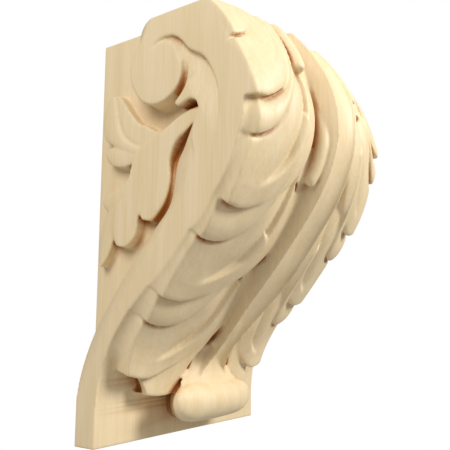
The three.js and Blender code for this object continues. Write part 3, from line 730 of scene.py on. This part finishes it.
EYES = [(41.0, 64.0, 25), (24.5, 115.0, 60), (22.5, 179.0, 60)]
EYE_LENGTH = 6.5
EYE_HALF_WIDTH = 2.2
EYE_DEPTH = 9.0
EYE_TAPER = 1.3
EYE_SECTION = [(-8, 1.3), (0, 1), (0.6 * EYE_DEPTH, 0.6), (EYE_DEPTH, 0.15)]


def make_eye_cutter():
    """Drop-shaped holes where two groups of leaflets meet, at millimetres across and down the leaf."""
    pieces = []
    turn = np.linspace(0, 2 * math.pi, 24, endpoint=False)
    for across, down, degrees in EYES:
        lean = math.radians(degrees)
        along = np.cos(turn) * EYE_LENGTH
        beside = np.sin(turn) * EYE_HALF_WIDTH * (EYE_TAPER - np.cos(turn)) / EYE_TAPER
        shape = np.stack([along * math.cos(lean) - beside * math.sin(lean),
                          -along * math.sin(lean) - beside * math.cos(lean)], -1)
        rings = []
        for depth, width in EYE_SECTION:
            at = (np.array([across, down]) + shape * width) / FRONT.unit
            rings.append(FRONT.place(at, -depth + 0 * at[..., 0]))
        pieces.append(loft("eye", rings))
    return mirror_half(join_pieces(pieces, "eye_cutter"))


GROUND_DOWN = (-0.1, 0.89)
GROUND_FALL = (0.08, 0.24)
GROUND_RIM = 0.8
GROUND_SPREAD = [(-0.1, 0.84), (0.76, 0.84), (0.82, 0.76), (0.86, 0.6), (0.89, 0.42)]
GROUND_DROP = 9.0
TOP_DROP = 3.0


def make_ground():
    """The ground that the leaflets stand on."""
    down = np.linspace(*GROUND_DOWN, 160)
    u = np.linspace(-1, 1, 81)
    across = smooth_table(GROUND_SPREAD, down)[:, None] * u[None]
    drop = TOP_DROP + (GROUND_DROP - TOP_DROP) * smooth_step(down, *GROUND_FALL)
    rim = smooth_step(np.abs(u), GROUND_RIM, 1.0)[None]
    height = np.maximum(-1, crown_height(across, down[:, None]) - drop[:, None]) * (1 - rim) - rim
    place = down[:, None] + 0 * across
    top = on_front(across, place, height)
    low = on_front(across, place, np.full(across.shape, -BEDDING))
    return loft("ground", np.concatenate([top, low[:, ::-4]], axis=1))


STEM_DOWN = (-0.1, 0.9)
STEM_FOOT = 1.15
STEM_HALF = [(-0.1, 18), (0.2, 15.5), (0.29, 12.5), (0.36, 12.8), (0.45, 13.3), (0.555, 14),
             (0.65, 11.5), (0.72, 8.6), (0.76, 8), (0.81, 10), (0.85, 15), (0.9, 30)]
STEM_LIFT = [(-0.1, 0), (0.15, 0.5), (0.29, 3.5), (0.36, 3), (0.45, 2.4), (0.555, 3.8), (0.7, 2.6),
             (0.8, 1.6), (0.9, 0)]
STEM_SECTION = [(-1.2, -2.2), (-1.03, -0.5), (-0.97, 0.55), (-0.9, 0.65), (-0.82, 0.2), (-0.5, -0.3),
                (0, -0.5), (0.5, -0.3), (0.82, 0.2), (0.9, 0.65), (0.97, 0.55), (1.03, -0.5),
                (1.2, -2.2)]


def make_stem():
    """Two thin ribs with a sunken channel between them, spreading into the curled tip."""
    down = np.linspace(*STEM_DOWN, 160)
    half = smooth_table(STEM_HALF, down) / HALF
    section = spline(STEM_SECTION, np.linspace(0, 1, 97))
    across = half[:, None] * section[None, :, 0]
    place = down[:, None] + 0 * across
    rise = section[None, :, 1] * size("stem_channel") + smooth_table(STEM_LIFT, down)[:, None]
    top = on_front(across, place, crown_height(across, place) + rise)
    low_across = half[:, None] * np.linspace(STEM_FOOT, -STEM_FOOT, 9)[None]
    low = on_front(low_across, down[:, None] + 0 * low_across, np.full(low_across.shape, -BEDDING))
    return loft("stem", np.concatenate([top, low], axis=1))


# Curled tip, its depths out from the wall and its heights up from the foot

CURL_DEPTH = 50.5
CURL_TOP = 36.0
CURL_BOTTOM = 9.0
CURL_OVERHANG = 20.0
CURL_DRAW = 5.0
CURL_TOP_DRAW = 3.0
CURL_BOTTOM_DRAW = 5.0
CURL_SWING = 2.0
CURL_FREE = (0.25, 0.9)
CURL_ENDS = 0.42
CURL_SQUARE = 0.8
DISH = [(12.5, 62), (44, 60), (43, 53), (41, 46), (41, 40), (43, 34), (46, 28), (48, 21), (42, 16),
        (12.5, 16)]
DISH_HALF = [(14, 28), (26, 32), (34, 31), (40, 25), (48, 17), (62, 14)]
DISH_FALL = 6.0
DISH_BACK = 20
DISH_NARROW = 0.3
DISH_WIDENS = (24, 38)


def curl_points(across, depth, up):
    """Points at millimetres across, out from the wall and up from the foot."""
    return np.stack([across, -depth, up - HEIGHT / 2], -1)


def make_roll():
    """The roll across the foot of the leaf, its ends free of the block."""
    share = np.sin(np.linspace(-math.pi / 2, math.pi / 2, 97))
    out = np.abs(share)
    full = np.maximum(0.0004, 1 - out**5)**CURL_ENDS
    back = FOOT_DEPTH - BEDDING + CURL_OVERHANG * smooth_step(out, *CURL_FREE)
    front = CURL_DEPTH - CURL_DRAW * out**2.5
    top = CURL_TOP - CURL_TOP_DRAW * out**2
    bottom = CURL_BOTTOM + CURL_BOTTOM_DRAW * out**2.6
    middle = np.stack([(front + back) / 2 + CURL_SWING * out**3, (top + bottom) / 2], -1)
    half = np.stack([(front - back) / 2, (top - bottom) / 2], -1) * full[:, None]
    angle = np.linspace(0, 2 * math.pi, 64, endpoint=False)
    sideways = np.sign(np.cos(angle)) * np.abs(np.cos(angle))**CURL_SQUARE
    circle = np.stack([sideways, np.sin(angle)], -1)
    place = middle[:, None] + half[:, None] * circle[None]
    across = share[:, None] * size("curl_half_width") + 0 * place[..., 0]
    return loft("roll", curl_points(across, place[..., 0], place[..., 1]))


def make_dish():
    """The dished run from the stem down to the roll, narrow at its buried back."""
    share = np.linspace(-1, 1, 41)
    depth, height = spline(DISH, np.linspace(0, 1, 80)).T
    out = depth[None] - DISH_FALL * (np.abs(share)**2.5)[:, None] * (depth > DISH_BACK)[None]
    widening = DISH_NARROW + (1 - DISH_NARROW) * smooth_step(depth, *DISH_WIDENS)
    across = share[:, None] * (smooth_table(DISH_HALF, height) * widening)[None]
    return loft("dish", curl_points(across, out, height[None] + 0 * out))


def make_curl():
    return join_pieces([make_roll(), make_dish()], "curl")


ENVELOPE_DEPTH = 200.0


def make_envelope():
    """A box that cuts everything back to the block's own faces."""
    extent = Vector((WIDTH, ENVELOPE_DEPTH, HEIGHT)) * MM
    bpy.ops.mesh.primitive_cube_add(size=1, location=(0, -extent.y / 2, 0), scale=extent)
    bpy.ops.object.transform_apply()
    return bpy.context.view_layer.objects.active


# Finish

SANDING_PASSES = 2
SANDING_FACTOR = 0.5
MOST_TRIANGLES = 195000
# Rays that measure how enclosed the surface is, for the shade painted into the hollows
SHADE_RAY_START = 0.15
SHADE_RAY_REACH = 11.0
SHADE_RAYS = 20
SHADE_BLUR_PASSES = 2


def mark_painted_shade(piece):
    """Stores how enclosed each point of the surface is, from 0 in the open to 1 deep in a cut, as the mask of
    the shade painted into the wood.
    """
    mesh = piece.data
    points = np.empty(len(mesh.vertices) * 3, np.float32)
    mesh.vertices.foreach_get("co", points)
    points = points.reshape(-1, 3)
    normals = np.empty_like(points)
    mesh.vertex_normals.foreach_get("vector", normals.ravel())
    tree = BVHTree.FromObject(piece, bpy.context.evaluated_depsgraph_get())
    rank = np.arange(SHADE_RAYS) + 0.5
    turn = rank * math.pi * (3 - math.sqrt(5))
    reach = np.sqrt(rank / SHADE_RAYS)
    local = np.stack([reach * np.cos(turn), reach * np.sin(turn), np.sqrt(1 - reach**2)], -1)
    helper = np.where(np.abs(normals[:, 2:3]) < 0.9, [[0.0, 0.0, 1.0]], [[1.0, 0.0, 0.0]])
    side = np.cross(helper, normals)
    side /= np.linalg.norm(side, axis=1, keepdims=True)
    up = np.cross(normals, side)
    start = points + normals * SHADE_RAY_START * MM
    far = SHADE_RAY_REACH * MM
    closed = np.zeros(len(points))
    cast = tree.ray_cast
    for x, y, z in local:
        rays = (side * x + up * y + normals * z).tolist()
        hits = [cast(a, b, far)[3] for a, b in zip(start.tolist(), rays)]
        closed += [0.0 if hit is None else 1 - hit / far for hit in hits]
    closed /= SHADE_RAYS
    edges = np.empty(len(mesh.edges) * 2, np.int32)
    mesh.edges.foreach_get("vertices", edges)
    a, b = edges.reshape(-1, 2).T
    count = 1 + np.bincount(a, minlength=len(points)) + np.bincount(b, minlength=len(points))
    for _ in range(SHADE_BLUR_PASSES):
        total = closed + np.bincount(a, closed[b], len(points)) + np.bincount(b, closed[a], len(points))
        closed = total / count
    layer = mesh.attributes.new("hollow", "FLOAT", "POINT")
    layer.data.foreach_set("value", closed.astype(np.float32))


def node(tree, kind, links=(), **settings):
    """Adds a node with its settings, and links sources into its numbered or named sockets."""
    made = tree.nodes.new(kind)
    for key, value in settings.items():
        if key.startswith("in_"):
            made.inputs[key[3:].replace("_", " ")].default_value = value
        else:
            setattr(made, key, value)
    for source, socket in links:
        tree.links.new(source, made.inputs[socket])
    return made


def sanded_maple(looks):
    """Hard maple, machine carved and sanded: pale cream, fine upright grain, and painted shade that turns it
    darker and warmer where the surface is enclosed.
    """
    wood = bpy.data.materials.new("sanded_maple")
    wood.use_nodes = True
    tree = wood.node_tree
    shader = tree.nodes["Principled BSDF"]
    shader.inputs["IOR"].default_value = 1.5
    shader.inputs["Specular IOR Level"].default_value = 0.35
    place = node(tree, "ShaderNodeTexCoord")
    width = looks.grain_width
    length = looks.grain_length
    fine = node(tree, "ShaderNodeMapping", [(place.outputs["Object"], "Vector")],
                in_Scale=(1 / width, 1 / width, 1 / length))
    lines = node(tree, "ShaderNodeTexNoise", [(fine.outputs[0], "Vector")], in_Scale=1.0, in_Detail=3.0)
    broad = node(tree, "ShaderNodeMapping", [(place.outputs["Object"], "Vector")],
                 in_Scale=(0.14 / width, 0.14 / width, 0.3 / length))
    streaks = node(tree, "ShaderNodeTexNoise", [(broad.outputs[0], "Vector")], in_Scale=1.0, in_Detail=2.0)
    both = node(tree, "ShaderNodeMath", [(lines.outputs[0], 0), (streaks.outputs[0], 1)], operation="ADD")
    amount = node(tree, "ShaderNodeMapRange", [(both.outputs[0], "Value")],
                  in_From_Min=0.8, in_From_Max=1.3, in_To_Min=0.0, in_To_Max=0.6)
    tone = node(tree, "ShaderNodeMix", [(amount.outputs[0], "Factor")], data_type="RGBA")
    tone.inputs[6].default_value = (*looks.wood, 1)
    tone.inputs[7].default_value = (*looks.grain, 1)
    # Painted shade: mixes the shade colour into the wood by how enclosed the surface is
    hollow = node(tree, "ShaderNodeAttribute", attribute_name="hollow")
    depth = node(tree, "ShaderNodeMapRange", [(hollow.outputs["Fac"], "Value")],
                 interpolation_type="SMOOTHSTEP", in_From_Min=0.13, in_From_Max=0.4, in_To_Max=1.0)
    colour = node(tree, "ShaderNodeMix", [(depth.outputs[0], "Factor"), (tone.outputs[2], 6)],
                  data_type="RGBA")
    colour.inputs[7].default_value = (*looks.hollow, 1)
    tree.links.new(colour.outputs[2], shader.inputs["Base Color"])
    sheen = node(tree, "ShaderNodeMapRange", [(lines.outputs[0], "Value")], in_To_Min=0.42, in_To_Max=0.6)
    tree.links.new(sheen.outputs[0], shader.inputs["Roughness"])
    bump = node(tree, "ShaderNodeBump", [(lines.outputs[0], "Height")], in_Strength=0.1, in_Distance=0.1 * MM)
    tree.links.new(bump.outputs[0], shader.inputs["Normal"])
    return wood


# Operators

class CORBEL_OT_block(bpy.types.Operator):
    """Saw the block to its profile and cut the side panels and the scrolls' grooves"""
    bl_idname = "corbel.block"
    bl_label = "Block and panels"

    def execute(self, context):
        block = make_block()
        boolean(block, make_panel_cutter(), "DIFFERENCE")
        boolean(block, make_groove_cutter(), "DIFFERENCE")
        boolean(block, make_crescent_cutter(), "DIFFERENCE")
        return {"FINISHED"}


class CORBEL_OT_sprays(bpy.types.Operator):
    """Carve the acanthus sprays in the side panels"""
    bl_idname = "corbel.sprays"
    bl_label = "Side sprays"

    def execute(self, context):
        make_spray()
        return {"FINISHED"}


class CORBEL_OT_leaf(bpy.types.Operator):
    """Carve the groups of leaflets down the front, and the ground under them"""
    bl_idname = "corbel.leaf"
    bl_label = "Front leaf"

    def execute(self, context):
        make_groups()
        make_ground()
        return {"FINISHED"}


class CORBEL_OT_stem(bpy.types.Operator):
    """Carve the leaf's stem and its curled tip"""
    bl_idname = "corbel.stem"
    bl_label = "Stem and curl"

    def execute(self, context):
        make_stem()
        make_curl()
        return {"FINISHED"}


class CORBEL_OT_finish(bpy.types.Operator):
    """Make the carving one skin, sand it and give it its wood, with shade painted into its hollows"""
    bl_idname = "corbel.finish"
    bl_label = "Finish the wood"

    def execute(self, context):
        parts = [bpy.data.objects[name] for name in ("block", "spray", "groups", "ground", "stem", "curl")]
        corbel = join_pieces(parts, PIECE)
        voxel_remesh(corbel, size("carving_grain"))
        boolean(corbel, make_envelope(), "INTERSECT")
        boolean(corbel, make_eye_cutter(), "DIFFERENCE")
        voxel_remesh(corbel, size("carving_grain"))
        activate(corbel)
        smooth = corbel.modifiers.new("smooth", "SMOOTH")
        smooth.factor = SANDING_FACTOR
        smooth.iterations = SANDING_PASSES
        bpy.ops.object.modifier_apply(modifier=smooth.name)
        thin = corbel.modifiers.new("thin", "DECIMATE")
        thin.ratio = min(1.0, MOST_TRIANGLES / (2 * len(corbel.data.polygons)))
        bpy.ops.object.modifier_apply(modifier=thin.name)
        bpy.ops.object.shade_smooth()
        # Marks how enclosed the surface is, for the shade painted into the wood's colour
        mark_painted_shade(corbel)
        corbel.data.materials.clear()
        corbel.data.materials.append(sanded_maple(context.scene.corbel_looks))
        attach(corbel, BODY)
        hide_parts(NODE)
        return {"FINISHED"}


CAMERA_PLACE = Vector((-338.3, -295.3, 75.6 - HEIGHT / 2)) * MM
CAMERA_YAW = math.radians(54.0)
CAMERA_PITCH = math.radians(8.57)
CAMERA_ROLL = math.radians(0.33)
SENSOR = 36.0
LENS = 49.5
FLOOR_DROP = 0.9
FLOOR_SIZE = 6
LIGHT_TARGET = Vector((0, -60, 0)) * MM
LAMPS = [
    dict(name="front_softbox", toward=(0.3, -0.82, 0.5), distance=1.1, size=0.4, watts=12),
    dict(name="side_softbox", toward=(-0.85, -0.1, 0.55), distance=1.2, size=0.7, watts=9),
]
FILL = 0.28


def aim(thing, place, target):
    thing.location = place
    thing.rotation_euler = (target - place).to_track_quat("-Z", "Y").to_euler()


class CORBEL_OT_stage(bpy.types.Operator):
    """Set up the pale floor, the soft lights and the camera"""
    bl_idname = "corbel.stage"
    bl_label = "Set the stage"

    def execute(self, context):
        scene = context.scene
        clear_selection()
        bpy.ops.mesh.primitive_plane_add(size=FLOOR_SIZE, location=(0, 0, LOW.z - FLOOR_DROP))
        floor = context.active_object
        floor.name = "floor"
        paint = bpy.data.materials.new("matt_floor_paint")
        paint.use_nodes = True
        shader = paint.node_tree.nodes["Principled BSDF"]
        shader.inputs["Base Color"].default_value = (*scene.corbel_looks.floor, 1)
        shader.inputs["Roughness"].default_value = 0.9
        floor.data.materials.append(paint)

        world = bpy.data.worlds.new("white_studio")
        world.use_nodes = True
        tree = world.node_tree
        tree.nodes["Background"].inputs["Color"].default_value = (1, 1, 1, 1)
        path = node(tree, "ShaderNodeLightPath")
        seen = node(tree, "ShaderNodeMapRange", [(path.outputs["Is Camera Ray"], "Value")], in_To_Min=FILL)
        tree.links.new(seen.outputs[0], tree.nodes["Background"].inputs["Strength"])
        scene.world = world

        for entry in LAMPS:
            lamp = bpy.data.lights.new(entry["name"], "AREA")
            lamp.energy = entry["watts"]
            lamp.size = entry["size"]
            softbox = bpy.data.objects.new(entry["name"], lamp)
            scene.collection.objects.link(softbox)
            place = LIGHT_TARGET + Vector(entry["toward"]).normalized() * entry["distance"]
            aim(softbox, place, LIGHT_TARGET)

        camera = bpy.data.cameras.new("camera")
        camera.sensor_width = SENSOR
        camera.lens = LENS
        rig = bpy.data.objects.new("camera", camera)
        scene.collection.objects.link(rig)
        level = math.cos(CAMERA_PITCH)
        forward = Vector((math.sin(CAMERA_YAW) * level, math.cos(CAMERA_YAW) * level, math.sin(CAMERA_PITCH)))
        right = Vector((math.cos(CAMERA_YAW), -math.sin(CAMERA_YAW), 0))
        up = right.cross(forward)
        tilted = right * math.cos(CAMERA_ROLL) + up * math.sin(CAMERA_ROLL)
        axes = Matrix((tilted, tilted.cross(forward), -forward)).transposed()
        rig.matrix_world = Matrix.Translation(CAMERA_PLACE) @ axes.to_4x4()
        scene.camera = rig
        scene.view_settings.view_transform = "Standard"
        return {"FINISHED"}


class CORBEL_PT_carving(bpy.types.Panel):
    """Steps, sizes and colours of the corbel"""
    bl_idname = "CORBEL_PT_carving"
    bl_label = "Acanthus corbel"
    bl_space_type = "VIEW_3D"
    bl_region_type = "UI"
    bl_category = "Corbel"

    def draw(self, context):
        for step in STEPS:
            self.layout.operator(step.bl_idname)
        for group in (context.scene.corbel_sizes, context.scene.corbel_looks):
            for name in group.__annotations__:
                self.layout.prop(group, name)


STEPS = [CORBEL_OT_stage, CORBEL_OT_block, CORBEL_OT_sprays, CORBEL_OT_leaf, CORBEL_OT_stem, CORBEL_OT_finish]
CLASSES = [CorbelSizes, CorbelLooks, *STEPS, CORBEL_PT_carving]


def register():
    for cls in CLASSES:
        bpy.utils.register_class(cls)
    bpy.types.Scene.corbel_sizes = PointerProperty(type=CorbelSizes)
    bpy.types.Scene.corbel_looks = PointerProperty(type=CorbelLooks)


def unregister():
    del bpy.types.Scene.corbel_looks
    del bpy.types.Scene.corbel_sizes
    for cls in reversed(CLASSES):
        bpy.utils.unregister_class(cls)


def main():
    register()
    bpy.ops.corbel.stage()
    bpy.ops.corbel.block()
    bpy.ops.corbel.sprays()
    bpy.ops.corbel.leaf()
    bpy.ops.corbel.stem()
    bpy.ops.corbel.finish()


if __name__ == "__main__":
    main()
